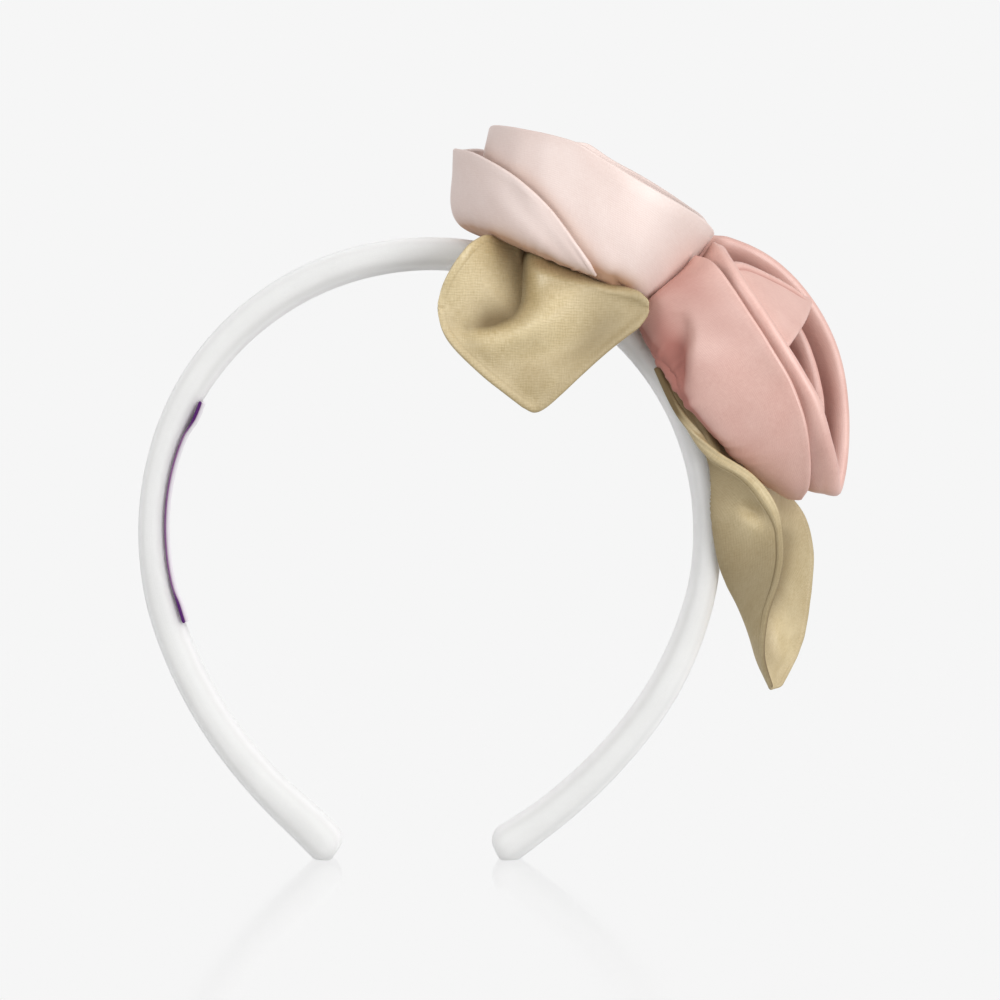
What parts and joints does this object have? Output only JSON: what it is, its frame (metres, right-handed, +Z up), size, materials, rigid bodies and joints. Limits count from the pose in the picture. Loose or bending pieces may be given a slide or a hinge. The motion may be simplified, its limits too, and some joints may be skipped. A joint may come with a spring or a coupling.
{
  "type": "flower headband",
  "caption": "Open padded satin hoop headband that stands on its tips, with ribbon roses and folded satin leaves sewn to one side and a tape label inside.",
  "frame": {"origin": "on the floor under the middle of the headband's outline", "axes": "+X to the flowers' side seen from the front, +Y to the back, +Z up from the tips to the crown"},
  "size_m": [0.1708, 0.0482, 0.1763],
  "materials": {
    "band_satin": "white satin over a padded plastic hoop",
    "label_tape": "woven purple tape",
    "pale_satin": "pale blush satin ribbon, soft sheen",
    "dusty_satin": "dusty pink satin ribbon, soft sheen",
    "leaf_satin": "olive-gold satin, fine weave"
  },
  "bodies": {
    "root": {"band": "band_satin", "label_tape": "label_tape", "front_leaf": "leaf_satin", "side_leaf": "leaf_satin", "pale_rose_outer_petal": "pale_satin", "pale_rose_main_petal": "pale_satin", "pale_rose_inner_petal": "pale_satin", "pale_rose_heart": "pale_satin", "dusty_rose_front_petal": "dusty_satin", "dusty_rose_ring_petal": "dusty_satin", "dusty_rose_inner_petal": "dusty_satin", "dusty_rose_folded_petal": "dusty_satin"}
  },
  "joints": []
}
